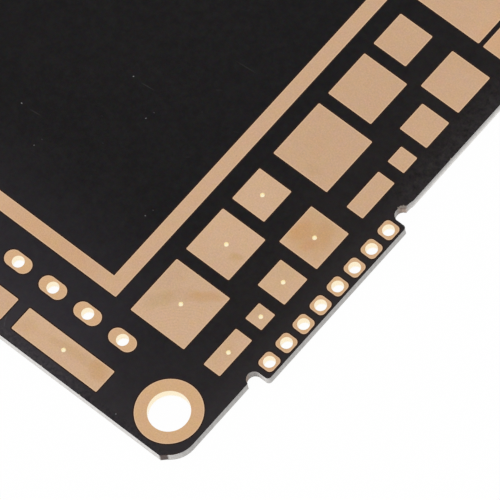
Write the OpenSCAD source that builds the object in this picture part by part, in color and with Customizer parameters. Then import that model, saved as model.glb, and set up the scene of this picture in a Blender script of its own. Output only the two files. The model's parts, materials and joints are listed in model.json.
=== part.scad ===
// Bare two-sided circuit board: glass-epoxy laminate, black solder mask on both faces,
// gold-plated copper pads, a gold frame round a plain field and plated holes.
// The origin is the centre of the four mounting holes, on the underside of their rings.
// +X points to the edge with the header tab, +Y runs along the header row, +Z is up.

/* [Board] */
// Width of the board, without the tab
board_w = 94.8; // [80:0.1:160]
// Height of the board, along the header row
board_h = 82.4; // [60:0.1:160]
// Thickness over the copper of both faces
board_t = 1.2; // [0.8:0.1:2.4]
// Radius of the four outside corners
corner_r = 2.85; // [0.5:0.05:4]
// Thickness of the copper with its nickel and gold
copper_t = 0.045; // [0.02:0.005:0.1]
// Thickness of the solder mask
mask_t = 0.03; // [0.01:0.005:0.1]
// Bare laminate left between a pad and the mask
mask_gap = 0.09; // [0.02:0.01:0.15]
// How far the router has worn the mask back from the board's edge
mask_back = 0.01; // [0:0.01:0.15]

/* [Header tab] */
// How far the tab stands out of the right edge
tab_out = 1.32; // [0.8:0.01:3]
// Distance from the bottom edge to the tab
tab_start = 12.53; // [11:0.01:20]
// Length of the tab
tab_len = 20.62; // [20:0.01:30]
// Radius of the tab's lower outside corner
tab_low_r = 0.4; // [0.1:0.05:0.6]
// Radius of the tab's upper outside corner
tab_high_r = 0.35; // [0.1:0.05:0.6]
// Radius of the router's round relief at each end of the tab
relief_r = 0.77; // [0.4:0.01:1]
// Distance from the right edge out to the reliefs' centres
relief_x = 0.14; // [0:0.01:0.3]

/* [Mounting holes] */
// Distance from each hole's centre to both edges
hole_inset = 4.09; // [4:0.01:6]
// Diameter of the holes
hole_d = 4.3; // [3.2:0.1:4.5]
// Diameter of the gold rings
ring_d = 6.85; // [6:0.05:7]

/* [Header] */
// Number of header holes
header_count = 8; // [2:1:8]
// Distance between header holes
header_pitch = 2.54; // [2:0.01:2.54]
// Distance from the right edge out to the header row
header_x = 0.15; // [-1:0.05:0.4]
// Distance from the bottom edge to the first header hole
header_y = 14.05; // [13.6:0.05:14.4]
// Side of the header pads
header_pad = 1.78; // [1.6:0.01:1.9]
// Corner radius of the header pads
header_pad_r = 0.48; // [0.1:0.01:0.8]
// Diameter of the header holes
header_hole_d = 1.25; // [0.8:0.05:1.3]

/* [Oval pads] */
// Number of oval pads with a hole
oval_count = 4; // [1:1:4]
// Distance between oval pads
oval_pitch = 4.52; // [4:0.01:6]
// Distance from the right edge to the first oval's centre
oval_x = 12.61; // [12:0.01:14]
// Distance from the bottom edge to the ovals' centres
oval_y = 6.995; // [6.5:0.005:7.2]
// Length of an oval
oval_l = 3.12; // [2.6:0.01:3.6]
// Width of an oval
oval_w = 1.78; // [1.7:0.01:2.2]
// Diameter of the holes in the ovals
oval_hole_d = 1.28; // [0.8:0.01:1.4]

/* [Surface pads] */
// Step of the layout grid that pads and gaps are counted in
step = 0.6875; // [0.6:0.0005:0.7]
// Corner radius of the surface pads
pad_r = 0.12; // [0.05:0.01:0.3]
// Distance from the right edge to the inner column's left side
inner_x = 14.13; // [14:0.01:15]
// Distance from the right edge to the outer column's right side
outer_x = 2.65; // [2:0.01:2.8]
// Distance from the bottom edge to the first group of both columns
column_y = 9.91; // [9:0.01:10]
// Number of groups of pads up the right side
groups = 3; // [1:1:3]
// Steps between the starts of two groups
group_steps = 31; // [30:1:34]
// Steps between two pads
gap_steps = 2; // [1:1:2]
// How much higher the wide pads of the third group start
wide_lift = 0.12; // [0:0.01:0.4]
// Number of pads along the bottom edge
foot_count = 6; // [1:1:6]
// Distance from the right edge to the first foot pad's right side
foot_x = 11; // [10:0.01:11]
// Distance from the bottom edge to the foot pads
foot_y = 1.24; // [0.8:0.01:1.4]
// Distance between foot pads
foot_pitch = 12.46; // [12:0.01:12.6]

/* [Frame] */
// Width of the gold line of the frame
frame_w = 1.63; // [1:0.01:3]
// Distance from the right edge to the frame
frame_right = 16.15; // [15:0.01:20]
// Distance from the other three edges to the frame
frame_margin = 10.03; // [9:0.01:15]

/* [Vias] */
// Diameter of the plated hole in the middle of a pad
via_d = 0.48; // [0.3:0.01:0.6]
// How far the drill set the vias to the right of their pads' centres
via_x = 0.05; // [-0.1:0.01:0.1]
// How far the drill set the vias above their pads' centres
via_y = 0.03; // [-0.1:0.01:0.1]
// Diameter of the small ring where it comes out underneath
via_ring_d = 0.85; // [0.75:0.05:1.1]
// Thickness of the plating in every hole
plating = 0.03; // [0.02:0.005:0.05]

/* [Hidden] */
$fn = 64;
// Small overlap that keeps cuts clean
eps = 0.5;
// Hair of flat left at each end of an oval, which keeps its outline whole
oval_flat = 0.002;
// Heights of the layers, from the underside of the copper up
core_z0 = copper_t;
core_z1 = board_t - copper_t;
core_t = core_z1 - core_z0;
// Sizes in steps, [wide, high], of the pads in one group, from the bottom up
inner_group = [[10, 10], [8, 8], [6, 6]];
outer_group = [[3, 7], [3, 3], [5, 5], [7, 7]];
// The third group starts with a wider pad in each column
wide_group = 2;
inner_wide = [11.9, 10];
outer_wide = [4, 7];
foot_size = [16, 4];
// Only the first group and the first foot pad have a via
via_group = 0;
via_foot = 1;
inner_count = groups * len(inner_group);
outer_count = groups * len(outer_group);
// Half the tab's length, where its two differently rounded halves meet
tab_mid = tab_len / 2;
// Corners of the router's leftover nib beside the lower right corner, from that corner
nib = [[-2.85, 0], [-1.77, 0.01], [-1.32, 0.44], [-1.95, 0.85]];

// Length of a number of steps
function steps(n) = n * step;
// Index of pad i's group, and of its place in that group
function group_of(i, group) = floor((i - 1) / len(group));
function place_of(i, group) = (i - 1) % len(group);
// Steps from a group's start up to its pad k, over the pads and gaps below it
function climb(group, k) = k == 0 ? 0 : climb(group, k - 1) + group[k - 1][1] + gap_steps;
// Whether pad i of a column is the wide one that starts the third group
function is_wide(i, group) = group_of(i, group) == wide_group && place_of(i, group) == 0;
// Lower edge of pad i of a column, and its size in steps
function pad_y(i, group) =
    column_y + steps(group_of(i, group) * group_steps + climb(group, place_of(i, group)))
    + (is_wide(i, group) ? wide_lift : 0);
function pad_size(i, group, wide) = is_wide(i, group) ? wide : group[place_of(i, group)];
// Centre of mounting hole i, counted round from the lower right corner
function hole_at(i) = [
    i == 1 || i == 4 ? -hole_inset : hole_inset - board_w,
    i <= 2 ? hole_inset : board_h - hole_inset
];
function header_at(i) = [header_x, header_y + (i - 1) * header_pitch];
function oval_at(i) = [-oval_x - (i - 1) * oval_pitch, oval_y];

// Moves what is measured from the board's lower right corner to the part's own frame
module from_corner() {
    translate([board_w / 2, -board_h / 2, 0]) children();
}

// Flat rectangle with true round corners, its lower left corner at the origin
module round_rect(w, h, r) {
    translate([r, 0]) square([w - 2 * r, h]);
    translate([0, r]) square([w, h - 2 * r]);
    for (x = [r, w - r]) {
        for (y = [r, h - r]) {
            translate([x, y]) circle(r);
        }
    }
}

// Solid rectangle with round corners, grown on every side to make an opening for it in the mask
module slab(x, y, w, h, r, z, t, grow = 0) {
    translate([x - grow, y - grow, z]) {
        linear_extrude(t) round_rect(w + 2 * grow, h + 2 * grow, r + grow);
    }
}

// Rod or hole on the Z axis, from one height up by a length
module rod(at, d, z, t) {
    translate([at[0], at[1], z]) cylinder(d = d, h = t);
}

// Outline of the board as routed, filled, between two heights; back draws the edge in for the mask
module blank(z, t, back = 0) {
    d = 2 * (relief_r + back);
    low_part = tab_mid + tab_low_r + tab_high_r;
    difference() {
        union() {
            slab(-board_w, 0, board_w, board_h, corner_r, z, t, -back);
            slab(-tab_out, tab_start, 2 * tab_out, low_part, tab_low_r, z, t, -back);
            slab(-tab_out, tab_start + tab_mid, 2 * tab_out, tab_mid, tab_high_r, z, t, -back);
            translate([-back, back, z]) linear_extrude(t) polygon(nib);
        }
        rod([relief_x, tab_start - relief_r], d, z - eps, t + 2 * eps);
        rod([relief_x, tab_start + tab_len + relief_r], d, z - eps, t + 2 * eps);
    }
}

// Shapes that are the same in copper and, grown by the gap, in the mask's openings
module header_shape(i, z, t, grow = 0) {
    at = header_at(i) - [header_pad, header_pad] / 2;
    slab(at[0], at[1], header_pad, header_pad, header_pad_r, z, t, grow);
}
module oval_shape(i, z, t, grow = 0) {
    at = oval_at(i) - [oval_l, oval_w] / 2;
    slab(at[0], at[1], oval_l, oval_w, (oval_w - oval_flat) / 2, z, t, grow);
}
module ring_shape(i, z, t, grow = 0) {
    rod(hole_at(i), ring_d + 2 * grow, z, t);
}
module inner_shape(i, z, t, grow = 0) {
    size = pad_size(i, inner_group, inner_wide);
    slab(-inner_x, pad_y(i, inner_group), steps(size[0]), steps(size[1]), pad_r, z, t, grow);
}
module outer_shape(i, z, t, grow = 0) {
    size = pad_size(i, outer_group, outer_wide);
    left = -outer_x - steps(size[0]);
    slab(left, pad_y(i, outer_group), steps(size[0]), steps(size[1]), pad_r, z, t, grow);
}
module foot_shape(i, z, t, grow = 0) {
    left = -foot_x - steps(foot_size[0]) - (i - 1) * foot_pitch;
    slab(left, foot_y, steps(foot_size[0]), steps(foot_size[1]), pad_r, z, t, grow);
}
module frame_shape(z, t, grow = 0) {
    w = board_w - frame_right - frame_margin;
    h = board_h - 2 * frame_margin;
    difference() {
        slab(-frame_right - w, frame_margin, w, h, pad_r, z, t, grow);
        translate([frame_w - frame_right - w + grow, frame_margin + frame_w + grow, z - eps])
            cube([w - 2 * frame_w - 2 * grow, h - 2 * frame_w - 2 * grow, t + 2 * eps]);
    }
}

// Centres of the vias
function inner_via(i) =
    let (size = pad_size(i, inner_group, inner_wide))
    [via_x - inner_x + steps(size[0]) / 2, via_y + pad_y(i, inner_group) + steps(size[1]) / 2];
function outer_via(i) =
    let (size = pad_size(i, outer_group, outer_wide))
    [via_x - outer_x - steps(size[0]) / 2, via_y + pad_y(i, outer_group) + steps(size[1]) / 2];
function foot_via(i) =
    [via_x - foot_x - steps(foot_size[0]) / 2 - (i - 1) * foot_pitch,
        via_y + foot_y + steps(foot_size[1]) / 2];
VIAS = concat(
    [for (i = [1:len(inner_group)]) inner_via(i)],
    [for (i = [1:len(outer_group)]) outer_via(i)],
    [foot_via(via_foot)]
);

// All through holes, drilled for the plating they take
module drillings(z, t, extra = 0) {
    for (i = [1:4]) rod(hole_at(i), hole_d + extra, z, t);
    for (i = [1:header_count]) rod(header_at(i), header_hole_d + extra, z, t);
    for (i = [1:oval_count]) rod(oval_at(i), oval_hole_d + extra, z, t);
    for (at = VIAS) rod(at, via_d + extra, z, t);
}

// Glass-epoxy core: routed outline with every hole drilled
module substrate() {
    color("#b9b4a4") from_corner() difference() {
        blank(core_z0, core_t);
        drillings(core_z0 - eps, core_t + 2 * eps, 2 * plating);
    }
}

// Mask of the front, with an opening for every pad, the rings and the frame
module top_mask() {
    z = core_z1 - eps;
    t = mask_t + 2 * eps;
    color("#242325") from_corner() difference() {
        blank(core_z1, mask_t, mask_back);
        for (i = [1:4]) ring_shape(i, z, t, mask_gap);
        for (i = [1:header_count]) header_shape(i, z, t, mask_gap);
        for (i = [1:oval_count]) oval_shape(i, z, t, mask_gap);
        for (i = [1:inner_count]) inner_shape(i, z, t, mask_gap);
        for (i = [1:outer_count]) outer_shape(i, z, t, mask_gap);
        for (i = [1:foot_count]) foot_shape(i, z, t, mask_gap);
        frame_shape(z, t, mask_gap);
    }
}

// Mask of the back, open only at the holes
module bottom_mask() {
    z = core_z0 - mask_t - eps;
    t = mask_t + 2 * eps;
    color("#242325") from_corner() difference() {
        blank(core_z0 - mask_t, mask_t, mask_back);
        for (i = [1:4]) ring_shape(i, z, t, mask_gap);
        for (i = [1:header_count]) header_shape(i, z, t, mask_gap);
        for (i = [1:oval_count]) oval_shape(i, z, t, mask_gap);
        for (at = VIAS) rod(at, via_ring_d + 2 * mask_gap, z, t);
    }
}

module gold_frame() {
    color("#cfa97f") from_corner() frame_shape(core_z1, copper_t);
}

// Plated hole: a land on the front, a land on the back and the barrel that joins them
module plated_hole(at, d) {
    color("#cfa97f") from_corner() difference() {
        union() {
            children();
            rod(at, d + 2 * plating, 0, board_t);
        }
        rod(at, d, -eps, board_t + 2 * eps);
    }
}

module mounting_eyelet(i) {
    plated_hole(hole_at(i), hole_d) {
        ring_shape(i, core_z1, copper_t);
        ring_shape(i, 0, copper_t);
    }
}

module header_eyelet(i) {
    plated_hole(header_at(i), header_hole_d) {
        header_shape(i, core_z1, copper_t);
        header_shape(i, 0, copper_t);
    }
}

module oval_eyelet(i) {
    plated_hole(oval_at(i), oval_hole_d) {
        oval_shape(i, core_z1, copper_t);
        oval_shape(i, 0, copper_t);
    }
}

// Surface pad, with its via down to a small ring on the back where it has one
module surface_pad(at, has_via) {
    if (has_via) {
        plated_hole(at, via_d) {
            children();
            rod(at, via_ring_d, 0, copper_t);
        }
    } else {
        color("#cfa97f") from_corner() children();
    }
}

module inner_pad(i) {
    surface_pad(inner_via(i), group_of(i, inner_group) == via_group) {
        inner_shape(i, core_z1, copper_t);
    }
}

module outer_pad(i) {
    surface_pad(outer_via(i), group_of(i, outer_group) == via_group) {
        outer_shape(i, core_z1, copper_t);
    }
}

module foot_pad(i) {
    surface_pad(foot_via(i), i == via_foot) {
        foot_shape(i, core_z1, copper_t);
    }
}

substrate();
top_mask();
bottom_mask();
gold_frame();
for (i = [1:4]) {
    mounting_eyelet(i);
}
for (i = [1:header_count]) {
    header_eyelet(i);
}
for (i = [1:oval_count]) {
    oval_eyelet(i);
}
for (i = [1:inner_count]) {
    inner_pad(i);
}
for (i = [1:outer_count]) {
    outer_pad(i);
}
for (i = [1:foot_count]) {
    foot_pad(i);
}
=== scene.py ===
import json
import math

import bmesh
import bpy
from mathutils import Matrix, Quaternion, Vector

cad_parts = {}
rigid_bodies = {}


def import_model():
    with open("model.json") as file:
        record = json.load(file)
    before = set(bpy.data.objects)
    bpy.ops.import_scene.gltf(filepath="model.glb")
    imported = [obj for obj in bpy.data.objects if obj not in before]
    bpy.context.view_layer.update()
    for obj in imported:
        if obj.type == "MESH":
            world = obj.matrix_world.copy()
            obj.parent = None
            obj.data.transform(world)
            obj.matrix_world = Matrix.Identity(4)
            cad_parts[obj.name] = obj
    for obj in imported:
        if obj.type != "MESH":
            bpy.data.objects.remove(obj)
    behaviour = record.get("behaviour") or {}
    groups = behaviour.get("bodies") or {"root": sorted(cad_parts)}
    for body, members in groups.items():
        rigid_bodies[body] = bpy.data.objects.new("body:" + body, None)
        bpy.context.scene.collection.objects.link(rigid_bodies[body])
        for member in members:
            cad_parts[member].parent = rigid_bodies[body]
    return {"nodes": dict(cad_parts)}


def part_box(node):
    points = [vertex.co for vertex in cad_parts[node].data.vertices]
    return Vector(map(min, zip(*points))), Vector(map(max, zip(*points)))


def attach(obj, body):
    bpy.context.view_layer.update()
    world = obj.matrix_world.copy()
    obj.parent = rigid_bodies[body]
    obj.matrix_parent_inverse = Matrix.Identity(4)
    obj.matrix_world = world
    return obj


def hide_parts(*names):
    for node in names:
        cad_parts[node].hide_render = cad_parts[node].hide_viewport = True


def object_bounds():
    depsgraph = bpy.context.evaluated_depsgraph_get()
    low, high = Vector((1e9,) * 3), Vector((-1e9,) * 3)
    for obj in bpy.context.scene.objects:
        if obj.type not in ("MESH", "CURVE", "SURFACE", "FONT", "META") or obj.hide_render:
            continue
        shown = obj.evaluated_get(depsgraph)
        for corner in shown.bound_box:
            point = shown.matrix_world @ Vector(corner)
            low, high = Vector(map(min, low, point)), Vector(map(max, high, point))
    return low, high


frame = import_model()
cad_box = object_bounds()

MM = 0.001
FLAT = 0.99  # a face whose normal is at least this much along the Z axis lies flat
UPRIGHT = 0.05  # and one whose normal is less than this much along it stands upright
ONE_PLANE = math.radians(0.1)  # faces that meet at less than this are one
ROUND_STEP = math.radians(11.0)  # a wall whose faces turn by less than this is round
MERGE = 0.003 * MM  # corners closer than this are one
CRUMB = MM ** 2  # what is broken off and loose has no face as large as this

# ---------------------------------------------------------------- places

board_low, board_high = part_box("substrate")
hole_1 = sum(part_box("mounting_eyelet_1"), Vector()) / 2
hole_3 = sum(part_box("mounting_eyelet_3"), Vector()) / 2
thickness = cad_box[1].z - cad_box[0].z
# The rectangle's right edge is as far from the right holes as its left edge is from the left ones
board_right = hole_1.x + (hole_3.x - board_low.x)
corner = Vector((board_right, board_low.y, 0))


def from_corner(x, y, z=0.0):
    """Point given in millimetres from the board's lower right corner, at a height in metres"""
    return corner + Vector((x * MM, y * MM, z))


# Worn away right through the board: centre from the corner, half width and half height, all in
# millimetres
BREAKS = [
    (0.24, 34.85, 0.38, 1.1),
]

# Places where the mask is chipped off the board's edge: centre from the corner and half size, in
# millimetres
CHIPS = [
    (-0.1, 34.77, 0.2),
    (-0.35, 34.67, 0.17),
    (-0.55, 34.47, 0.15),
    (-0.64, 34.24, 0.12),
    (-17.05, 0.0, 0.12),
    (-12.1, 0.0, 0.12),
    (0.0, 41.45, 0.12),
]

# ---------------------------------------------------------------- camera

CAMERA_AZIMUTH = math.radians(53.18)
CAMERA_ELEVATION = math.radians(64.17)
CAMERA_ROLL = math.radians(-13.72)
CAMERA_DISTANCE = 818.8 * MM
CAMERA_LENS = 607.85  # a long lens close up, so the board hardly tapers
CAMERA_AIM = from_corner(-9.11, 21.9, thickness)


def make_camera():
    """Camera that looks down on the board's lower right corner, turned a little about its axis"""
    flat = math.cos(CAMERA_ELEVATION)
    back = Vector((
        math.sin(CAMERA_AZIMUTH) * flat,
        -math.cos(CAMERA_AZIMUTH) * flat,
        math.sin(CAMERA_ELEVATION),
    ))
    data = bpy.data.cameras.new("camera")
    data.lens = CAMERA_LENS
    camera = bpy.data.objects.new("camera", data)
    camera.rotation_mode = "QUATERNION"
    level = (-back).to_track_quat("-Z", "Y")
    camera.rotation_quaternion = level @ Quaternion((0, 0, 1), CAMERA_ROLL)
    camera.location = CAMERA_AIM + back * CAMERA_DISTANCE
    bpy.context.scene.collection.objects.link(camera)
    bpy.context.scene.camera = camera


# ---------------------------------------------------------------- material helpers


def srgb(code):
    """Linear colour of an sRGB hex value"""
    parts = [int(code[i:i + 2], 16) / 255 for i in (0, 2, 4)]
    linear = [c / 12.92 if c <= 0.04045 else ((c + 0.055) / 1.055) ** 2.4 for c in parts]
    return (*linear, 1.0)


def add(tree, kind, inputs=None, **settings):
    """Adds one node with its settings, and links or sets its inputs"""
    node = tree.nodes.new(kind)
    for name, value in settings.items():
        setattr(node, name, value)
    for socket, value in (inputs or {}).items():
        if isinstance(value, bpy.types.NodeSocket):
            tree.links.new(value, node.inputs[socket])
        else:
            node.inputs[socket].default_value = value
    return node


def start_material(name):
    """New material with a Principled shader, and the place on the part that its patterns read"""
    material = bpy.data.materials.new(name)
    material.use_nodes = True
    tree = material.node_tree
    tree.nodes.clear()
    shader = add(tree, "ShaderNodeBsdfPrincipled")
    add(tree, "ShaderNodeOutputMaterial", {"Surface": shader.outputs["BSDF"]})
    place = add(tree, "ShaderNodeTexCoord").outputs["Object"]
    return material, tree, shader, place


def per_mm(size):
    """Texture scale at which one feature is this many millimetres across"""
    return 1 / (size * MM)


NOISE_MIDDLE = (0.5, 0.5, 0.5)  # the colour that a noise swings about
PATCH_CORE = 0.35  # the share of its half size within which a patch is full
PATCH_END = 1.25  # and the share at which it has faded out
FULL_DEPTH = 100.0  # so many millimetres down that a patch is the same from front to back


def patch(tree, place, x, y, long, wide, turn, low=FULL_DEPTH):
    """Soft-edged oval patch on the board: its centre from the corner and its half sizes, in
    millimetres, and the way it lies in degrees. It gives 1 in the middle and 0 outside, and it
    fades from the front face downwards over the last size"""
    oval = add(tree, "ShaderNodeMapping", {
        "Vector": place, "Location": from_corner(x, y, thickness),
        "Rotation": (0, 0, math.radians(turn)), "Scale": (long * MM, wide * MM, low * MM),
    }, vector_type="TEXTURE")
    reach = add(tree, "ShaderNodeVectorMath", {0: oval.outputs["Vector"]}, operation="LENGTH")
    return add(tree, "ShaderNodeMapRange", {
        "Value": reach.outputs["Value"], "From Min": PATCH_END, "From Max": PATCH_CORE,
    }, interpolation_type="SMOOTHSTEP").outputs["Result"]


def warped(tree, place, size, reach):
    """Place with its lines made wavy: waves of a size and a reach in millimetres, of which half
    is the most that a line moves"""
    wave = add(tree, "ShaderNodeTexNoise", {"Vector": place, "Scale": per_mm(size), "Detail": 3.0})
    centred = add(tree, "ShaderNodeVectorMath", {
        0: wave.outputs["Color"], 1: NOISE_MIDDLE,
    }, operation="SUBTRACT")
    return add(tree, "ShaderNodeVectorMath", {
        0: centred.outputs["Vector"], 1: (reach * MM, reach * MM, 0), 2: place,
    }, operation="MULTIPLY_ADD").outputs["Vector"]


# ---------------------------------------------------------------- materials

# Tarnish on the gold: centre, half sizes and lie of each patch, and how olive and how rusty it is
TARNISH = [
    (-9.2, 15.5, 2.0, 0.65, 38, 0.2, 0.35),
    (-11.2, 14.3, 2.2, 0.9, 44, 0.2, 0.0),
    (-12.7, 12.4, 1.7, 1.0, 52, 0.42, 0.0),
    (-9.55, 20.55, 0.95, 0.4, 45, 0.5, 0.05),
    (-5.2, 26.6, 2.9, 2.9, 0, 0.33, 0.25),
    (-6.5, 26.5, 1.4, 1.2, 70, 0.0, 0.45),
    (-4.6, 27.4, 1.6, 1.1, 100, 0.2, 0.15),
    (-5.0, 25.75, 0.9, 0.6, 30, 0.1, 0.3),
    (-21.05, 2.35, 1.4, 1.0, 10, 0.2, 0.12),
    (-15.4, 3.1, 3.6, 0.65, 8, 0.35, 0.1),
    (-12.2, 3.1, 1.4, 1.0, 0, 0.3, 0.35),
    (-11.6, 34.6, 1.9, 1.6, 0, 0.1, 0.0),
    (-9.9, 32.3, 1.0, 0.7, 0, 0.35, 0.0),
    (-4.0, 55.0, 3.2, 3.4, 0, 0.0, 0.32),
    (-25.0, 10.9, 7.0, 1.8, 0, 0.05, 0.27),
    (-5.6, 28.9, 3.4, 1.2, 0, 0.25, 0.0),
    (-5.0, 22.8, 1.6, 1.4, 0, 0.2, 0.0),
    (-6.0, 50.4, 3.2, 1.2, 0, 0.2, 0.0),
    (-4.3, 12.2, 1.4, 2.8, 0, 0.25, 0.0),
    (-4.6, 17.5, 1.2, 1.2, 0, 0.3, 0.05),
    (-5.2, 21.0, 2.2, 2.0, 0, 0.2, 0.0),
]

# Painted light on the gold: patches where it is painted a little darker or lighter than elsewhere,
# for the light that falls unevenly across the board. Centre, half sizes and lie of each patch, and
# the change of brightness
PAINTED_LIGHT_PATCHES = [
    (-10.0, 14.9, 6.5, 6.0, 0, -0.035),
    (-10.4, 40.5, 6.0, 13.0, 0, -0.03),
    (-34.0, 6.0, 19.0, 9.0, 0, 0.045),
    (-30.0, 10.8, 14.0, 1.4, 0, 0.03),
    (-13.4, 15.2, 1.6, 2.4, 0, -0.04),
    (-16.9, 18.0, 2.5, 14.0, 0, 0.03),
    (-4.0, 55.0, 4.0, 4.0, 0, 0.065),
    (-5.0, 17.0, 4.0, 11.0, 0, 0.015),
]

RING_STEP = 0.314  # how far apart a wave texture's rings are at a scale of 1


def immersion_gold():
    """Immersion gold over nickel: a satin, slightly pink metal. Where a hole joins a land to the
    back the bath laid the gold thicker and yellower, and rinsing left soft olive and rusty tarnish
    on some lands"""
    material, tree, shader, place = start_material("immersion_gold")
    bath = add(tree, "ShaderNodeAttribute", attribute_name="bath").outputs["Fac"]
    thin = add(tree, "ShaderNodeMix", {
        "Factor": add(tree, "ShaderNodeMapRange", {
            "Value": bath, "From Max": 0.5,
        }).outputs["Result"],
        "A": srgb("D1AC8C"), "B": srgb("D6B292"),
    }, data_type="RGBA")
    clean = add(tree, "ShaderNodeMix", {
        "Factor": add(tree, "ShaderNodeMapRange", {
            "Value": bath, "From Min": 0.5,
        }).outputs["Result"],
        "A": thin.outputs["Result"], "B": srgb("D8B087"),
    }, data_type="RGBA")
    wavy = warped(tree, place, 1.6, 1.0)
    olive = 0.0
    rusty = 0.0
    for x, y, long, wide, turn, green, red in TARNISH:
        oval = patch(tree, wavy, x, y, long, wide, turn)
        olive = add(tree, "ShaderNodeMath", {
            0: oval, 1: green, 2: olive,
        }, operation="MULTIPLY_ADD").outputs["Value"]
        rusty = add(tree, "ShaderNodeMath", {
            0: oval, 1: red, 2: rusty,
        }, operation="MULTIPLY_ADD").outputs["Value"]
    cloud = add(tree, "ShaderNodeTexNoise", {
        "Vector": place, "Scale": per_mm(1.2), "Detail": 3.0, "Roughness": 0.6,
    })
    drift = add(tree, "ShaderNodeMapRange", {
        "Value": cloud.outputs["Fac"], "From Min": 0.3, "From Max": 0.7,
        "To Min": -0.12, "To Max": 0.22,
    })
    olive = add(tree, "ShaderNodeMath", {
        0: olive, 1: drift.outputs["Result"],
    }, operation="ADD", use_clamp=True)
    tarnished = add(tree, "ShaderNodeMix", {
        "Factor": olive.outputs["Value"], "A": clean.outputs["Result"], "B": srgb("C4A278"),
    }, data_type="RGBA")
    hue = add(tree, "ShaderNodeMix", {
        "Factor": rusty, "A": tarnished.outputs["Result"], "B": srgb("CC9A68"),
    }, data_type="RGBA")
    # Scrubbing left fine arcs, a third of a millimetre apart, on the lands next to the corner
    brush_place = add(tree, "ShaderNodeMapping", {
        "Vector": place, "Location": from_corner(-5.5, 6.5) * -1,
    })
    brush = add(tree, "ShaderNodeTexWave", {
        "Vector": brush_place.outputs["Vector"], "Scale": RING_STEP * per_mm(0.32),
        "Distortion": 6.0, "Detail": 2.0, "Detail Scale": 0.8,
    }, wave_type="RINGS", rings_direction="SPHERICAL")
    near = patch(tree, place, -9.6, 12.0, 4.0, 2.6, 45)
    arcs = add(tree, "ShaderNodeMath", {0: brush.outputs["Fac"], 1: near}, operation="MULTIPLY")
    # Crystals of slightly different colour, grouped in patches: the real ones are hundredths of a
    # millimetre across, and these are a quarter of one, as coarse as they need to be to show
    crystals = add(tree, "ShaderNodeTexNoise", {
        "Vector": place, "Scale": per_mm(0.9), "Detail": 5.0, "Roughness": 0.8,
    })
    spread = add(tree, "ShaderNodeVectorMath", {
        0: crystals.outputs["Color"], 1: NOISE_MIDDLE,
    }, operation="SUBTRACT")
    hue = add(tree, "ShaderNodeVectorMath", {
        0: spread.outputs["Vector"], 1: (0.1, 0.08, 0.14), 2: hue.outputs["Result"],
    }, operation="MULTIPLY_ADD")
    # Grain, soft cloud and arcs only lighten and darken, mostly by a few parts in a hundred
    grain = add(tree, "ShaderNodeTexNoise", {
        "Vector": place, "Scale": per_mm(0.17), "Detail": 2.0, "Roughness": 0.8,
    })
    shade = add(tree, "ShaderNodeMath", {
        0: grain.outputs["Fac"], 1: 0.44, 2: 0.75,
    }, operation="MULTIPLY_ADD")
    shade = add(tree, "ShaderNodeMath", {
        0: cloud.outputs["Fac"], 1: 0.14, 2: shade.outputs["Value"],
    }, operation="MULTIPLY_ADD")
    shade = add(tree, "ShaderNodeMath", {
        0: arcs.outputs["Value"], 1: 0.045, 2: shade.outputs["Value"],
    }, operation="MULTIPLY_ADD")
    # Painted light: these patches darken and lighten the gold where the light falls more weakly or
    # more strongly
    for x, y, long, wide, turn, change in PAINTED_LIGHT_PATCHES:
        oval = patch(tree, place, x, y, long, wide, turn)
        shade = add(tree, "ShaderNodeMath", {
            0: oval, 1: change, 2: shade.outputs["Value"],
        }, operation="MULTIPLY_ADD")
    # A few pinholes, a tenth of a millimetre in radius
    pits = add(tree, "ShaderNodeTexVoronoi", {"Vector": place, "Scale": per_mm(2.6)})
    pit = add(tree, "ShaderNodeMapRange", {
        "Value": pits.outputs["Distance"], "From Min": 0.022, "From Max": 0.04,
        "To Min": 0.85, "To Max": 1.0,
    })
    shade = add(tree, "ShaderNodeMath", {
        0: shade.outputs["Value"], 1: pit.outputs["Result"],
    }, operation="MULTIPLY")
    tone = add(tree, "ShaderNodeVectorMath", {
        0: hue.outputs["Vector"], "Scale": shade.outputs["Value"],
    }, operation="SCALE")
    tree.links.new(tone.outputs["Vector"], shader.inputs["Base Color"])
    rough = add(tree, "ShaderNodeMapRange", {
        "Value": cloud.outputs["Fac"], "To Min": 0.30, "To Max": 0.42,
    })
    tree.links.new(rough.outputs["Result"], shader.inputs["Roughness"])
    bump = add(tree, "ShaderNodeBump", {
        "Height": grain.outputs["Fac"], "Strength": 0.35, "Distance": 0.004 * MM,
    })
    tree.links.new(bump.outputs["Normal"], shader.inputs["Normal"])
    shader.inputs["Metallic"].default_value = 1.0
    return material


def painted_highlight_shoulder():
    """The sloping rim of a land, in the same gold painted brighter: a painted highlight along the
    rim of each land
    """
    material, tree, shader, place = start_material("painted_highlight_shoulder")
    nodules = add(tree, "ShaderNodeTexNoise", {
        "Vector": place, "Scale": per_mm(0.25), "Detail": 2.0,
    })
    hue = add(tree, "ShaderNodeMix", {
        "Factor": nodules.outputs["Fac"], "A": srgb("DDB793"), "B": srgb("ECC9A6"),
    }, data_type="RGBA")
    tree.links.new(hue.outputs["Result"], shader.inputs["Base Color"])
    bump = add(tree, "ShaderNodeBump", {
        "Height": nodules.outputs["Fac"], "Strength": 0.4, "Distance": 0.006 * MM,
    })
    tree.links.new(bump.outputs["Normal"], shader.inputs["Normal"])
    shader.inputs["Metallic"].default_value = 1.0
    shader.inputs["Roughness"].default_value = 0.28
    return material


def shaded_etched_flank():
    """The upright side of a land, where the etch left the copper brown and matt, painted darker as
    well for the shade on this upright side
    """
    material, tree, shader, place = start_material("shaded_etched_flank")
    bite = add(tree, "ShaderNodeTexNoise", {"Vector": place, "Scale": per_mm(0.1), "Detail": 2.0})
    hue = add(tree, "ShaderNodeMix", {
        "Factor": bite.outputs["Fac"], "A": srgb("4A2A1C"), "B": srgb("7A4A30"),
    }, data_type="RGBA")
    tree.links.new(hue.outputs["Result"], shader.inputs["Base Color"])
    shader.inputs["Metallic"].default_value = 0.6
    shader.inputs["Roughness"].default_value = 0.6
    return material


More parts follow.
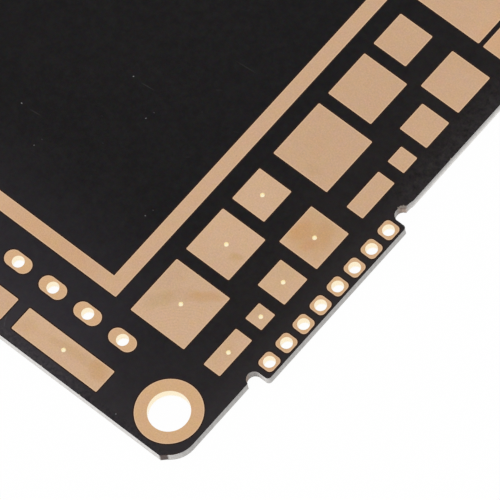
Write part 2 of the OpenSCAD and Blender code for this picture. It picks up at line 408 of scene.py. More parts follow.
def plated_barrel():
    """Gold-plated hole wall: drilled, so it has fine rings. Its colour is painted far paler than
    the gold, a painted reflection of the light from the floor below: cream for most of its height
    and almost white at the lower rim"""
    material, tree, shader, place = start_material("plated_barrel")
    rings_place = add(tree, "ShaderNodeMapping", {"Vector": place, "Scale": (1.0, 1.0, 6.0)})
    rings = add(tree, "ShaderNodeTexNoise", {
        "Vector": rings_place.outputs["Vector"], "Scale": per_mm(0.9), "Detail": 3.0,
    })
    cream = add(tree, "ShaderNodeMix", {
        "Factor": rings.outputs["Fac"], "A": srgb("FFE8C0"), "B": srgb("FFF6D8"),
    }, data_type="RGBA")
    split = add(tree, "ShaderNodeSeparateXYZ", {"Vector": place})
    # Painted reflection: the wall is painted almost white towards its lower rim, where it throws
    # back the most light from the floor
    down = add(tree, "ShaderNodeMapRange", {
        "Value": split.outputs["Z"], "From Min": 0.3 * thickness, "From Max": -0.04 * thickness,
    }, interpolation_type="SMOOTHSTEP")
    pale = add(tree, "ShaderNodeMix", {
        "Factor": down.outputs["Result"], "A": cream.outputs["Result"], "B": srgb("FFFEF8"),
    }, data_type="RGBA")
    # A via is so narrow that the light goes from wall to wall in it and comes out yellow: this
    # light is painted into its wall as a pale yellow colour
    bath = add(tree, "ShaderNodeAttribute", attribute_name="bath").outputs["Fac"]
    wide = add(tree, "ShaderNodeMapRange", {"Value": bath, "From Min": 0.5})
    hue = add(tree, "ShaderNodeMix", {
        "Factor": wide.outputs["Result"], "A": srgb("FFF2CA"), "B": pale.outputs["Result"],
    }, data_type="RGBA")
    tree.links.new(hue.outputs["Result"], shader.inputs["Base Color"])
    bump = add(tree, "ShaderNodeBump", {
        "Height": rings.outputs["Fac"], "Strength": 0.2, "Distance": 0.01 * MM,
    })
    tree.links.new(bump.outputs["Normal"], shader.inputs["Normal"])
    shader.inputs["Metallic"].default_value = 1.0
    shader.inputs["Roughness"].default_value = 0.18
    return material


# Specks of settled dust on the mask: centre, half sizes and lie of each, and how pale it is
SPECKS = [
    (-37.29, 20.07, 0.09, 0.07, 0, 0.22),
    (-30.47, 29.07, 0.08, 0.07, 30, 0.2),
    (-26.5, 26.39, 0.08, 0.06, 60, 0.18),
    (-26.27, 27.33, 0.07, 0.05, 0, 0.07),
    (-33.28, 17.39, 0.08, 0.06, 20, 0.12),
    (-33.08, 18.34, 0.07, 0.05, 0, 0.06),
    (-19.62, 18.39, 0.08, 0.06, 0, 0.12),
    (-19.4, 19.3, 0.07, 0.05, 0, 0.06),
    (-7.96, 0.69, 0.09, 0.06, 40, 0.14),
    (-30.07, 23.9, 0.07, 0.05, 0, 0.02),
    (-28.06, 21.75, 0.08, 0.06, 0, 0.025),
    (-22.57, 30.28, 0.08, 0.05, 0, 0.012),
]

SCUFF_WIDTH = 0.07  # half the width of a hairline, in millimetres

# Hairline scuffs on the mask: middle, half length and lie of each, and how pale it is
SCUFFS = [
    (-28.65, 29.1, 0.85, 6, 0.013),
    (-35.55, 20.15, 0.75, 7, 0.013),
    (-22.37, 36.66, 1.25, 5, 0.011),
    (-22.82, 33.13, 0.4, 35, 0.007),
    (-18.51, 30.7, 0.4, 30, 0.007),
    (-20.46, 25.74, 0.35, 40, 0.006),
    (-23.1, 1.68, 0.3, -67, 0.02),
    (-22.79, 1.13, 0.36, -54, 0.02),
]


def black_solder_mask():
    """Black epoxy solder mask, curtain-coated and cured: satin, with a fine orange peel, greyer
    towards the board's edges, and with dust specks and a few hairline scuffs"""
    material, tree, shader, place = start_material("black_solder_mask")
    peel = add(tree, "ShaderNodeTexNoise", {"Vector": place, "Scale": per_mm(0.35), "Detail": 2.0})
    cloud = add(tree, "ShaderNodeTexNoise", {"Vector": place, "Scale": per_mm(6.0), "Detail": 3.0})
    split = add(tree, "ShaderNodeSeparateXYZ", {"Vector": place})
    away_x = add(tree, "ShaderNodeMath", {0: split.outputs["X"]}, operation="ABSOLUTE")
    away_y = add(tree, "ShaderNodeMath", {0: split.outputs["Y"]}, operation="ABSOLUTE")
    # The mask is painted warmer and paler towards the short edges, and bluish and paler towards
    # the long edges
    edge_tone_x = add(tree, "ShaderNodeMapRange", {
        "Value": away_x.outputs["Value"], "From Min": 30 * MM, "From Max": 47 * MM, "To Max": 0.42,
    }, interpolation_type="SMOOTHSTEP")
    edge_tone_y = add(tree, "ShaderNodeMapRange", {
        "Value": away_y.outputs["Value"], "From Min": 20 * MM, "From Max": 40 * MM, "To Max": 0.95,
    }, interpolation_type="SMOOTHSTEP")
    # The bluish tone thins towards the corners
    thinner = add(tree, "ShaderNodeMapRange", {
        "Value": away_x.outputs["Value"], "From Min": 31 * MM, "From Max": 38 * MM,
        "To Min": 1.0, "To Max": 0.47,
    }, interpolation_type="SMOOTHSTEP")
    edge_tone_y = add(tree, "ShaderNodeMath", {
        0: edge_tone_y.outputs["Result"], 1: thinner.outputs["Result"],
    }, operation="MULTIPLY")
    uneven = add(tree, "ShaderNodeMapRange", {
        "Value": cloud.outputs["Fac"], "To Min": -0.22, "To Max": 0.22,
    })
    edge_tone_x = add(tree, "ShaderNodeMath", {
        0: edge_tone_x.outputs["Result"], 1: uneven.outputs["Result"],
    }, operation="ADD", use_clamp=True)
    warm = add(tree, "ShaderNodeMix", {
        "Factor": edge_tone_x.outputs["Value"], "A": srgb("090608"), "B": srgb("231D1C"),
    }, data_type="RGBA")
    cool = add(tree, "ShaderNodeMix", {
        "Factor": edge_tone_y.outputs["Value"], "A": warm.outputs["Result"], "B": srgb("282429"),
    }, data_type="RGBA")
    # Rubbed paler in the last millimetres, more along the long edges
    rubbed_x = add(tree, "ShaderNodeMapRange", {
        "Value": away_x.outputs["Value"], "From Min": 44.5 * MM, "From Max": 47.5 * MM,
        "To Max": 0.12,
    }, interpolation_type="SMOOTHSTEP")
    rubbed_y = add(tree, "ShaderNodeMapRange", {
        "Value": away_y.outputs["Value"], "From Min": 35 * MM, "From Max": 41.5 * MM,
        "To Max": 0.24,
    }, interpolation_type="SMOOTHSTEP")
    rubbed_y = add(tree, "ShaderNodeMath", {
        0: rubbed_y.outputs["Result"], 1: thinner.outputs["Result"],
    }, operation="MULTIPLY")
    rubbed = add(tree, "ShaderNodeMath", {
        0: rubbed_x.outputs["Result"], 1: rubbed_y.outputs["Value"],
    }, operation="MAXIMUM")
    hue = add(tree, "ShaderNodeMix", {
        "Factor": rubbed.outputs["Value"], "A": cool.outputs["Result"], "B": srgb("4C4749"),
    }, data_type="RGBA")
    scuffed = 0.0
    for x, y, long, turn, faint in SCUFFS:
        line = patch(tree, place, x, y, long, SCUFF_WIDTH, turn)
        scuffed = add(tree, "ShaderNodeMath", {
            0: line, 1: faint, 2: scuffed,
        }, operation="MULTIPLY_ADD").outputs["Value"]
    dusty = 0.0
    ragged = warped(tree, place, 0.09, 0.14)
    for x, y, long, wide, turn, grey in SPECKS:
        speck = patch(tree, ragged, x, y, long, wide, turn)
        dusty = add(tree, "ShaderNodeMath", {
            0: speck, 1: grey, 2: dusty,
        }, operation="MULTIPLY_ADD").outputs["Value"]
    # Speckle of the filler in the ink: the real grains are finer, and these are as coarse as they
    # need to be to show
    speckle = add(tree, "ShaderNodeTexNoise", {
        "Vector": place, "Scale": per_mm(0.4), "Detail": 4.0, "Roughness": 0.8,
    })
    centred = add(tree, "ShaderNodeVectorMath", {
        0: speckle.outputs["Color"], 1: NOISE_MIDDLE,
    }, operation="SUBTRACT")
    specked = add(tree, "ShaderNodeVectorMath", {
        0: centred.outputs["Vector"], 1: (0.018, 0.016, 0.020), 2: hue.outputs["Result"],
    }, operation="MULTIPLY_ADD")
    # Fingers and packing have left the last millimetres of the edge above the tab more mottled
    above_tab = add(tree, "ShaderNodeMapRange", {
        "Value": split.outputs["Y"], "From Min": from_corner(0, 33).y,
        "From Max": from_corner(0, 37).y, "To Max": 1.9,
    }, interpolation_type="SMOOTHSTEP")
    mottled = add(tree, "ShaderNodeMapRange", {
        "Value": split.outputs["X"], "From Min": 44.2 * MM, "From Max": 46.4 * MM,
        "To Max": above_tab.outputs["Result"],
    }, interpolation_type="SMOOTHSTEP")
    # Pale grit clings to the rims of the long edges
    gritty = add(tree, "ShaderNodeMapRange", {
        "Value": away_y.outputs["Value"], "From Min": 39.9 * MM, "From Max": 40.8 * MM,
        "To Max": 5.0,
    }, interpolation_type="SMOOTHSTEP")
    gritty = add(tree, "ShaderNodeMath", {
        0: gritty.outputs["Result"], 1: thinner.outputs["Result"], 2: mottled.outputs["Result"],
    }, operation="MULTIPLY_ADD")
    grit = add(tree, "ShaderNodeMath", {
        0: speckle.outputs["Fac"], 1: 0.02, 2: -0.01,
    }, operation="MULTIPLY_ADD")
    grit = add(tree, "ShaderNodeMath", {
        0: grit.outputs["Value"], 1: gritty.outputs["Value"],
    }, operation="MULTIPLY")
    # Lint in soft clumps about a millimetre across
    lint = add(tree, "ShaderNodeTexNoise", {
        "Vector": place, "Scale": per_mm(0.9), "Detail": 4.0, "Roughness": 0.7,
    })
    lint = add(tree, "ShaderNodeMath", {
        0: lint.outputs["Fac"], 1: 0.011, 2: -0.0056,
    }, operation="MULTIPLY_ADD")
    lint = add(tree, "ShaderNodeMath", {
        0: lint.outputs["Value"], 1: mottled.outputs["Result"], 2: lint.outputs["Value"],
    }, operation="MULTIPLY_ADD")
    paler = add(tree, "ShaderNodeMath", {0: scuffed, 1: dusty}, operation="ADD")
    paler = add(tree, "ShaderNodeMath", {
        0: paler.outputs["Value"], 1: grit.outputs["Value"],
    }, operation="ADD")
    paler = add(tree, "ShaderNodeMath", {
        0: paler.outputs["Value"], 1: lint.outputs["Value"],
    }, operation="ADD")
    tone = add(tree, "ShaderNodeVectorMath", {
        0: specked.outputs["Vector"], 1: paler.outputs["Value"],
    }, operation="ADD")
    tree.links.new(tone.outputs["Vector"], shader.inputs["Base Color"])
    rough = add(tree, "ShaderNodeMapRange", {
        "Value": cloud.outputs["Fac"], "To Min": 0.34, "To Max": 0.44,
    })
    tree.links.new(rough.outputs["Result"], shader.inputs["Roughness"])
    bump = add(tree, "ShaderNodeBump", {
        "Height": peel.outputs["Fac"], "Strength": 0.25, "Distance": 0.004 * MM,
    })
    tree.links.new(bump.outputs["Normal"], shader.inputs["Normal"])
    shader.inputs["Specular IOR Level"].default_value = 0.155
    return material


def shaded_mask_brim():
    """The mask's thin brim round an opening: the amber laminate shows through it as a dark brown
    line, painted darker as well for the shade on the opening's wall"""
    material, tree, shader, place = start_material("shaded_mask_brim")
    ragged = add(tree, "ShaderNodeTexNoise", {
        "Vector": place, "Scale": per_mm(0.3), "Detail": 2.0,
    })
    hue = add(tree, "ShaderNodeMix", {
        "Factor": ragged.outputs["Fac"], "A": srgb("2A1912"), "B": srgb("3C261C"),
    }, data_type="RGBA")
    tree.links.new(hue.outputs["Result"], shader.inputs["Base Color"])
    shader.inputs["Roughness"].default_value = 0.6
    shader.inputs["Specular IOR Level"].default_value = 0.1
    return material


# Soot the router left on the edge: centre and half sizes of each patch, its lie, how far down it
# fades and how dark it is
SCORCHES = [
    (-1.51, 0.25, 0.46, 0.53, 45, FULL_DEPTH, 1.3),
    (-0.4, 34.55, 0.5, 0.4, 30, FULL_DEPTH, 0.08),
    (-0.65, 34.2, 0.4, 0.35, 60, FULL_DEPTH, 0.36),
    (-0.35, 34.6, 0.45, 0.4, 30, 0.6, 0.68),
    (-0.5, 11.3, 0.55, 0.5, -50, FULL_DEPTH, 0.42),
    # This patch darkens the far wall of the lower notch
    (-0.55, 12.2, 0.6, 0.5, 60, FULL_DEPTH, 0.25),
    (-0.05, 12.5, 0.65, 0.35, 0, FULL_DEPTH, 0.26),
]

# Where the cutter's heat browned the resin in the notches beside the tab: centre, half sizes and
# lie of each patch
SINGED = [
    (-0.4, 34.5, 0.5, 0.45, 30),
    (-0.5, 11.3, 0.65, 0.4, -60),
]

# Colours of the plies that the routed edge cuts through, and how far up the edge each one is
LOWEST_PLY = "D4D0CB"
MIDDLE_PLIES = [
    (0.22, "E8E5E2"),
    (0.36, "DAD7D3"),
    (0.5, "ECEAE7"),
    (0.66, "DEDBD8"),
    (0.82, "F0EEEC"),
]
TOP_PLY = "F2F0EE"


def routed_glass_epoxy():
    """Glass-epoxy laminate as the router leaves it: pale grey, with the glass cloth's plies as
    long streaks. The two edges that face along X are painted darker: painted shade, as they get
    less light than the others"""
    material, tree, shader, place = start_material("routed_glass_epoxy")
    split = add(tree, "ShaderNodeSeparateXYZ", {"Vector": place})
    long_place = add(tree, "ShaderNodeMapping", {"Vector": place, "Scale": (1.0, 1.0, 7.0)})
    streaks = add(tree, "ShaderNodeTexNoise", {
        "Vector": long_place.outputs["Vector"], "Scale": per_mm(1.2), "Detail": 4.0,
        "Roughness": 0.6,
    })
    # Bundles of fibre ends: one fibre is a hundredth of a millimetre across and wouldn't show
    fibres = add(tree, "ShaderNodeTexNoise", {
        "Vector": place, "Scale": per_mm(0.14), "Detail": 2.0,
    })
    # The cutter's teeth left upright marks
    teeth_place = add(tree, "ShaderNodeMapping", {"Vector": place, "Scale": (1.0, 1.0, 0.1)})
    teeth = add(tree, "ShaderNodeTexNoise", {
        "Vector": teeth_place.outputs["Vector"], "Scale": per_mm(0.35), "Detail": 1.0,
    })
    wander = add(tree, "ShaderNodeMath", {
        0: streaks.outputs["Fac"], 1: 0.4 * MM, 2: split.outputs["Z"],
    }, operation="MULTIPLY_ADD")
    level = add(tree, "ShaderNodeMapRange", {
        "Value": wander.outputs["Value"], "From Min": 0.2 * MM, "From Max": thickness + 0.2 * MM,
    })
    plies = add(tree, "ShaderNodeValToRGB", {"Fac": level.outputs["Result"]})
    ramp = plies.color_ramp
    ramp.elements[0].color = srgb(LOWEST_PLY)
    ramp.elements[1].color = srgb(TOP_PLY)
    for height, code in MIDDLE_PLIES:
        ramp.elements.new(height).color = srgb(code)
    normal = add(tree, "ShaderNodeNewGeometry").outputs["True Normal"]
    facing = add(tree, "ShaderNodeSeparateXYZ", {"Vector": normal})
    across = add(tree, "ShaderNodeMath", {0: facing.outputs["X"]}, operation="ABSOLUTE")
    # Painted shade on the edges that face along X, less of it low down, where the light from the
    # floor evens it out
    side_shade_level = add(tree, "ShaderNodeMapRange", {
        "Value": split.outputs["Z"], "From Max": thickness, "To Min": 0.76, "To Max": 0.60,
    })
    # Above the tab the painted shade on these edges is lifted, most of all low down: painted light
    clean = add(tree, "ShaderNodeMapRange", {
        "Value": split.outputs["Y"], "From Min": from_corner(0, 32.5).y,
        "From Max": from_corner(0, 36.5).y,
    }, interpolation_type="SMOOTHSTEP")
    painted_low_light = add(tree, "ShaderNodeMapRange", {
        "Value": split.outputs["Z"], "From Max": 0.62 * thickness, "To Min": 0.6, "To Max": 0.04,
    })
    side_shade_level = add(tree, "ShaderNodeMath", {
        0: clean.outputs["Result"], 1: painted_low_light.outputs["Result"], 2: side_shade_level.outputs["Result"],
    }, operation="MULTIPLY_ADD")
    # Painted shade: the edges that face along X are darkened to that level
    shade = add(tree, "ShaderNodeMapRange", {
        "Value": across.outputs["Value"], "To Min": 1.0, "To Max": side_shade_level.outputs["Value"],
    })
    fine = add(tree, "ShaderNodeMath", {
        0: fibres.outputs["Fac"], 1: 0.2, 2: -0.1,
    }, operation="MULTIPLY_ADD")
    cuts = add(tree, "ShaderNodeMath", {
        0: teeth.outputs["Fac"], 1: 0.24, 2: -0.12,
    }, operation="MULTIPLY_ADD")
    marks = add(tree, "ShaderNodeMath", {
        0: fine.outputs["Value"], 1: cuts.outputs["Value"],
    }, operation="ADD")
    strength = add(tree, "ShaderNodeMath", {
        0: shade.outputs["Result"], 1: marks.outputs["Value"],
    }, operation="ADD")
    tone = add(tree, "ShaderNodeVectorMath", {
        0: plies.outputs["Color"], "Scale": strength.outputs["Value"],
    }, operation="SCALE")
    wavy = warped(tree, place, 0.3, 0.25)
    resin = tone.outputs["Vector"]
    for singed in SINGED:
        resin = add(tree, "ShaderNodeMix", {
            "Factor": patch(tree, wavy, *singed), "A": resin, "B": srgb("D4BDAD"),
        }, data_type="RGBA").outputs["Result"]
    scorched = 0.0
    for x, y, long, wide, turn, low, depth in SCORCHES:
        oval = patch(tree, wavy, x, y, long, wide, turn, low)
        scorched = add(tree, "ShaderNodeMath", {
            0: oval, 1: depth, 2: scorched,
        }, operation="MULTIPLY_ADD").outputs["Value"]
    scorched = add(tree, "ShaderNodeMath", {0: scorched, 1: 0.97}, operation="MINIMUM")
    layers_place = add(tree, "ShaderNodeMapping", {"Vector": place, "Scale": (1.0, 1.0, 3.0)})
    layers = add(tree, "ShaderNodeTexNoise", {
        "Vector": layers_place.outputs["Vector"], "Scale": per_mm(0.7), "Detail": 2.0,
    })
    soot = add(tree, "ShaderNodeMix", {
        "Factor": layers.outputs["Fac"], "A": srgb("2E1C1A"), "B": srgb("62504C"),
    }, data_type="RGBA")
    hue = add(tree, "ShaderNodeMix", {
        "Factor": scorched.outputs["Value"], "A": resin, "B": soot.outputs["Result"],
    }, data_type="RGBA")
    tree.links.new(hue.outputs["Result"], shader.inputs["Base Color"])
    bump = add(tree, "ShaderNodeBump", {
        "Height": fibres.outputs["Fac"], "Strength": 0.5, "Distance": 0.02 * MM,
    })
    tree.links.new(bump.outputs["Normal"], shader.inputs["Normal"])
    shader.inputs["Roughness"].default_value = 0.7
    return material


TORN = 2.2  # how much further the cloth is torn than the mask is chipped


def bare_laminate_face():
    """The laminate's own face in the narrow gap round a land: amber epoxy over dark cloth, painted
    darker as well for the shade in the narrow gap, so that it reads as a fine dark brown line;
    grey where the mask was torn off with the top of the cloth"""
    material, tree, shader, place = start_material("bare_laminate_face")
    weave = add(tree, "ShaderNodeTexNoise", {"Vector": place, "Scale": per_mm(0.4), "Detail": 2.0})
    amber = add(tree, "ShaderNodeMix", {
        "Factor": weave.outputs["Fac"], "A": srgb("281710"), "B": srgb("3A2418"),
    }, data_type="RGBA")
    torn = add(tree, "ShaderNodeMix", {
        "Factor": weave.outputs["Fac"], "A": srgb("5E5650"), "B": srgb("A49A90"),
    }, data_type="RGBA")
    bare = 0.0
    for x, y, reach in CHIPS:
        round_it = patch(tree, place, x, y, TORN * reach, TORN * reach, 0)
        bare = add(tree, "ShaderNodeMath", {
            0: round_it, 1: bare,
        }, operation="MAXIMUM").outputs["Value"]
    hue = add(tree, "ShaderNodeMix", {
        "Factor": bare, "A": amber.outputs["Result"], "B": torn.outputs["Result"],
    }, data_type="RGBA")
    tree.links.new(hue.outputs["Result"], shader.inputs["Base Color"])
    shader.inputs["Roughness"].default_value = 0.6
    shader.inputs["Specular IOR Level"].default_value = 0.2
    return material


# ---------------------------------------------------------------- modelling helpers


def only(piece):
    """Makes this the one selected and active object"""
    bpy.ops.object.select_all(action="DESELECT")
    piece.select_set(True)
    bpy.context.view_layer.objects.active = piece


def edit(piece, mode="FACE"):
    """Opens the piece in edit mode with nothing selected"""
    only(piece)
    bpy.ops.object.mode_set(mode="EDIT")
    bpy.ops.mesh.select_mode(type=mode)
    bpy.ops.mesh.select_all(action="DESELECT")


def pick_faces(piece, test):
    """Adds the faces that pass the test, by centre and normal, to the selection"""
    mesh = bmesh.from_edit_mesh(piece.data)
    for face in mesh.faces:
        if not face.hide and test(face.calc_center_median(), face.normal):
            face.select_set(True)
    bmesh.update_edit_mesh(piece.data)


def pick_edges(piece, test):
    """Selects only the edges that pass the test"""
    mesh = bmesh.from_edit_mesh(piece.data)
    for edge in mesh.edges:
        edge.select_set(False)
    for edge in mesh.edges:
        if not edge.hide and test(edge):
            edge.select_set(True)
    bmesh.update_edit_mesh(piece.data)


def close():
    """Goes back to object mode"""
    bpy.ops.object.mode_set(mode="OBJECT")


def copy_node(node, name):
    """A copy of a CAD node with its doubles merged, which then stands for it"""
    piece = bpy.data.objects.new(name, frame["nodes"][node].data.copy())
    piece.data.name = name
    piece.data.materials.clear()
    bpy.context.scene.collection.objects.link(piece)
    edit(piece)
    bpy.ops.mesh.select_all(action="SELECT")
    bpy.ops.mesh.remove_doubles(threshold=MERGE)
    bpy.ops.mesh.customdata_custom_splitnormals_clear()
    bpy.ops.mesh.select_all(action="DESELECT")
    close()
    return piece


def slope_rims(piece, width, drop):
    """Gives every rim of the piece's flat faces a sloping shoulder, inside its own outline"""
    for side in (1, -1):
        edit(piece)
        pick_faces(piece, lambda centre, normal: normal.z * side > FLAT)
        bpy.ops.mesh.dissolve_limited(angle_limit=ONE_PLANE)
        bpy.ops.transform.translate(value=(0, 0, -side * drop))
        bpy.ops.mesh.inset(thickness=width, depth=drop, use_boundary=True, use_even_offset=True)
        close()


def paint(piece, materials, choose):
    """Gives each face one of the materials, by the face's centre and normal"""
    for material in materials:
        piece.data.materials.append(material)
    for face in piece.data.polygons:
        face.material_index = choose(face.center, face.normal)


def smooth_rounds(piece):
    """Smooths round walls and leaves every rim crisp"""
    only(piece)
    bpy.ops.object.shade_smooth_by_angle(angle=ROUND_STEP)


# ---------------------------------------------------------------- the pieces

SHOULDER_WIDTH = 0.085 * MM
SHOULDER_DROP = 0.022 * MM
TOP, SHOULDER, BARREL, FLANK = range(4)  # the order of a land's finishes


def bath_of(node):
    """How thick the bath laid its gold on a land: most on an eyelet, less on a pad with a via and
    least on the rest"""
    if "eyelet" in node:
        return 1.0
    return 0.5 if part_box(node)[0].z < board_low.z else 0.0


def finish_land(land, node):
    """Notes a land's gold thickness on its mesh, and lets it stand for its node"""
    bath = land.data.attributes.new("bath", "FLOAT", "FACE")
    thick = bath_of(node)
    for face in bath.data:
        face.value = thick
    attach(land, "root")
    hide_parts(node)


def plate(nodes, finishes):
    """Lands of one shape: the first is modelled with flat gold, shoulders with a painted
    highlight, brown flanks with painted shade and, in a hole, a barrel with a painted reflection,
    and each of the others is a copy of it, moved to the place of its own node"""
    first = copy_node(nodes[0], "plated_" + nodes[0])
    slope_rims(first, SHOULDER_WIDTH, SHOULDER_DROP)
    low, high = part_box(nodes[0])
    middle = (low + high) / 2
    through = low.z < board_low.z

    def choose(centre, normal):
        inward = (middle - centre).x * normal.x + (middle - centre).y * normal.y
        around_hole = through and inward > 0
        if abs(normal.z) > FLAT:
            return TOP
        if abs(normal.z) < UPRIGHT:
            return BARREL if around_hole else FLANK
        return TOP if around_hole else SHOULDER

    paint(first, finishes, choose)
    smooth_rounds(first)
    lands = [first]
    for node in nodes[1:]:
        land = bpy.data.objects.new("plated_" + node, first.data.copy())
        bpy.context.scene.collection.objects.link(land)
        edit(land)
        bpy.ops.mesh.select_all(action="SELECT")
        bpy.ops.transform.translate(value=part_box(node)[0] - low)
        close()
        lands.append(land)
    for land, node in zip(lands, nodes):
        finish_land(land, node)


SAME_SIZE = 0.01 * MM  # lands are alike if their sides differ by less than this


def families(nodes):
    """Sorts nodes into lists of one size and number of faces, so each shape is modelled once"""
    alike = {}
    for node in sorted(nodes):
        low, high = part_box(node)
        size = tuple(round(side / SAME_SIZE) for side in high - low)
        alike.setdefault((size, len(frame["nodes"][node].data.polygons)), []).append(node)
    return alike.values()


BRIM_WIDTH = 0.05 * MM
BRIM_DROP = 0.014 * MM
BESIDE_LAND = 0.15 * MM  # a mask's wall this close to a land is the wall of its opening
COAT, BRIM = range(2)  # the order of a mask's finishes


def mask_coat(node, name, finishes, lands):
    """A coat of solder mask that thins to a brim at its openings and its outer edge"""
    piece = copy_node(node, name)
    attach(piece, "root")
    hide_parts(node)
    slope_rims(piece, BRIM_WIDTH, BRIM_DROP)
    around = [
        (low.x - BESIDE_LAND, low.y - BESIDE_LAND, high.x + BESIDE_LAND, high.y + BESIDE_LAND)
        for low, high in map(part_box, lands)
    ]

    def choose(centre, normal):
        if abs(normal.z) > FLAT:
            return COAT
        beside = any(x0 < centre.x < x1 and y0 < centre.y < y1 for x0, y0, x1, y1 in around)
        return BRIM if beside else COAT

    paint(piece, finishes, choose)
    smooth_rounds(piece)
    return piece


CUTTER_SIDES = 16
CUTTER_FOOT = -0.5 * MM  # where the cutter starts, under the board's back
CUTTER_HEIGHT = 2.2 * MM
CHIP_RAGGED = 0.25  # how far a cutter's corners stray, as a share of its half width
BREAK_RAGGED = 0.06
BREAK_SEED = 1


def bite(piece, x, y, wide, high, ragged, seed):
    """Breaks a ragged bite out of a piece, right through it"""
    bpy.ops.object.select_all(action="DESELECT")
    bpy.ops.mesh.primitive_circle_add(
        vertices=CUTTER_SIDES, radius=wide * MM, fill_type="NGON",
        location=from_corner(x, y, CUTTER_FOOT),
    )
    cutter = bpy.context.object
    edit(cutter, "VERT")
    bpy.ops.mesh.select_all(action="SELECT")
    bpy.ops.transform.resize(value=(1, high / wide, 1))
    bpy.ops.transform.vertex_random(offset=ragged * wide * MM, seed=seed)
    # The corners strayed up and down too, so they are brought back to one level
    bpy.ops.transform.resize(value=(1, 1, 0))
    bpy.ops.mesh.extrude_region_move(TRANSFORM_OT_translate={"value": (0, 0, CUTTER_HEIGHT)})
    bpy.ops.mesh.select_all(action="SELECT")
    bpy.ops.mesh.normals_make_consistent(inside=False)
    close()
    cut = piece.modifiers.new("bite", "BOOLEAN")
    cut.operation = "DIFFERENCE"
    cut.solver = "EXACT"
    cut.object = cutter
    only(piece)
    bpy.ops.object.modifier_apply(modifier="bite")
    bpy.data.objects.remove(cutter)


def brush_off(piece):
    """Merges the corners that the bites brought together, and deletes the crumbs they left"""
    edit(piece)
    bpy.ops.mesh.select_all(action="SELECT")
    bpy.ops.mesh.remove_doubles(threshold=MERGE)
    bpy.ops.mesh.select_all(action="DESELECT")
    mesh = bmesh.from_edit_mesh(piece.data)
    for face in mesh.faces:
        face.select_set(face.calc_area() > CRUMB)
    bmesh.update_edit_mesh(piece.data)
    bpy.ops.mesh.select_linked()
    bpy.ops.mesh.select_all(action="INVERT")
    bpy.ops.mesh.delete(type="VERT")
    close()


STRETCH = 0.25 * MM  # the routed edge is cut into stretches no longer than this
PLY_CUTS = 9  # cuts along the edge, so that it has ten rows
OFF_RIM = 1e-6  # corners nearer than this to either face are on its rim, and stay
PLY_GRAIN = (2.2 * MM, 2.2 * MM, 0.18 * MM)  # a ply's unevenness: long, wide and high
PLY_PUSH = 0.05 * MM  # the most that a ply is worn back
SIDE, FACE = range(2)  # the order of the laminate's finishes


def runs_level(edge):
    """Whether an edge of the board's side runs along it, not up"""
    rise = abs(edge.verts[0].co.z - edge.verts[1].co.z)
    return rise < 0.5 * (board_high.z - board_low.z)


def routed_board(finishes):
    """The laminate, with its routed edge cut into short stretches so that the plies can be worn
    back unevenly"""
    piece = copy_node("substrate", "routed_laminate")
    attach(piece, "root")
    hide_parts("substrate")
    edit(piece)
    # The faces and the walls of the holes are hidden, so that only the routed side is worked on
    pick_faces(piece, lambda centre, normal: abs(normal.z) < 0.5)
    bpy.ops.mesh.hide(unselected=True)
    bpy.ops.mesh.select_all(action="DESELECT")
    left = board_low.x + MERGE
    pick_faces(piece, lambda centre, normal: centre.x < left)
    bpy.ops.mesh.select_linked()
    bpy.ops.mesh.tris_convert_to_quads()
    bpy.ops.mesh.hide(unselected=True)
    piece.vertex_groups.new(name="edge_band")
    while True:
        pick_edges(piece, lambda edge: runs_level(edge) and edge.calc_length() > STRETCH)
        if not any(edge.select for edge in bmesh.from_edit_mesh(piece.data).edges):
            break
        bpy.ops.mesh.subdivide(number_cuts=1)
    pick_edges(piece, lambda edge: not runs_level(edge))
    bpy.ops.mesh.subdivide(number_cuts=PLY_CUTS)
    mesh = bmesh.from_edit_mesh(piece.data)
    for vert in mesh.verts:
        vert.select_set(False)
    for vert in mesh.verts:
        if not vert.hide and board_low.z + OFF_RIM < vert.co.z < board_high.z - OFF_RIM:
            vert.select_set(True)
    bmesh.update_edit_mesh(piece.data)
    bpy.ops.object.vertex_group_assign()
    bpy.ops.mesh.reveal(select=False)
    close()
    # The texture reads its place from an empty whose size is the plies' grain
    ruler = bpy.data.objects.new("ply_ruler", None)
    ruler.scale = PLY_GRAIN
    bpy.context.scene.collection.objects.link(ruler)
    plies = bpy.data.textures.new("plies", "CLOUDS")
    plies.noise_scale = 1.0
    plies.noise_depth = 2
    push = piece.modifiers.new("plies", "DISPLACE")
    push.texture = plies
    push.texture_coords = "OBJECT"
    push.texture_coords_object = ruler
    push.vertex_group = "edge_band"
    push.strength = PLY_PUSH
    push.mid_level = 1.0
    only(piece)
    bpy.ops.object.modifier_apply(modifier="plies")
    bpy.data.objects.remove(ruler)
    paint(piece, finishes, lambda centre, normal: FACE if abs(normal.z) > FLAT else SIDE)
    return piece


# ---------------------------------------------------------------- floor and light

WORLD_LIGHT = 0.90
FLOOR_SIZE = 16.0
FLOOR_GAP = 0.01 * MM  # so that the floor doesn't lie in the board's own back face
FLOOR_SHARE = 0.97  # how much of the floor's look is plain white; the rest keeps the shadow


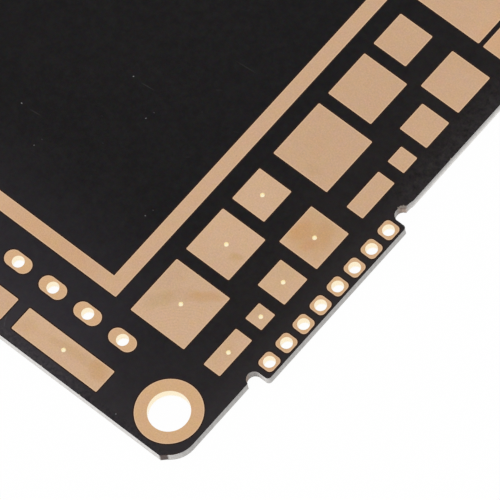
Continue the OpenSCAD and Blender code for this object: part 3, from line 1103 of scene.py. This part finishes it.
def make_floor():
    """White sweep: it looks white, keeps a little of the shadow and bounces light as pale grey"""
    bpy.ops.object.select_all(action="DESELECT")
    bpy.ops.mesh.primitive_plane_add(size=FLOOR_SIZE, location=(0, 0, -FLOOR_GAP))
    floor = bpy.context.object
    floor.name = "floor"
    material = bpy.data.materials.new("white_sweep")
    material.use_nodes = True
    tree = material.node_tree
    tree.nodes.clear()
    paper = add(tree, "ShaderNodeBsdfDiffuse", {"Color": srgb("CCCCCC")})
    bright = add(tree, "ShaderNodeBsdfDiffuse", {"Color": srgb("F4F4F4")})
    white = add(tree, "ShaderNodeEmission", {"Color": (1, 1, 1, 1), "Strength": 1.0})
    look = add(tree, "ShaderNodeMixShader", {
        0: FLOOR_SHARE, 1: bright.outputs[0], 2: white.outputs[0],
    })
    ray = add(tree, "ShaderNodeLightPath")
    seen = add(tree, "ShaderNodeMath", {
        0: ray.outputs["Is Camera Ray"], 1: ray.outputs["Is Glossy Ray"],
    }, operation="ADD")
    seen = add(tree, "ShaderNodeMath", {
        0: seen.outputs[0], 1: ray.outputs["Is Transmission Ray"],
    }, operation="ADD", use_clamp=True)
    mix = add(tree, "ShaderNodeMixShader", {
        0: seen.outputs[0], 1: paper.outputs[0], 2: look.outputs[0],
    })
    add(tree, "ShaderNodeOutputMaterial", {"Surface": mix.outputs[0]})
    floor.data.materials.append(material)


def softbox(name, direction, distance, size, power):
    """Soft lamp that faces the board from a direction"""
    data = bpy.data.lights.new(name, "AREA")
    data.shape = "RECTANGLE"
    data.size, data.size_y = size
    data.energy = power
    lamp = bpy.data.objects.new(name, data)
    towards = Vector(direction).normalized()
    lamp.location = towards * distance
    lamp.rotation_euler = towards.to_track_quat("Z", "Y").to_euler()
    bpy.context.scene.collection.objects.link(lamp)


def make_light():
    """Even white surround, with one low softbox in front of the board's lower edge"""
    world = bpy.data.worlds.new("studio")
    world.use_nodes = True
    tree = world.node_tree
    tree.nodes.clear()
    surround = add(tree, "ShaderNodeBackground", {"Color": (1, 1, 1, 1), "Strength": WORLD_LIGHT})
    add(tree, "ShaderNodeOutputWorld", {"Surface": surround.outputs[0]})
    bpy.context.scene.world = world
    softbox(
        "front_softbox", direction=(0.1, -0.93, 0.3), distance=1.6, size=(1.6, 0.8), power=5.0,
    )


# ---------------------------------------------------------------- assembly

bpy.context.scene.view_settings.view_transform = "Standard"
make_camera()
make_floor()
make_light()

lands = [node for node in frame["nodes"] if not node.endswith(("substrate", "mask"))]
coat = [black_solder_mask(), shaded_mask_brim()]

board = routed_board([routed_glass_epoxy(), bare_laminate_face()])
front_mask = mask_coat("top_mask", "front_mask", coat, lands)
back_mask = mask_coat("bottom_mask", "back_mask", coat, lands)
for seed, (x, y, reach) in enumerate(CHIPS, 1):
    bite(front_mask, x, y, reach, reach, CHIP_RAGGED, seed)
for piece in (board, front_mask, back_mask):
    for x, y, wide, high in BREAKS:
        bite(piece, x, y, wide, high, BREAK_RAGGED, BREAK_SEED)
    brush_off(piece)
finishes = [immersion_gold(), painted_highlight_shoulder(), plated_barrel(), shaded_etched_flank()]
for alike in families(lands):
    plate(alike, finishes)
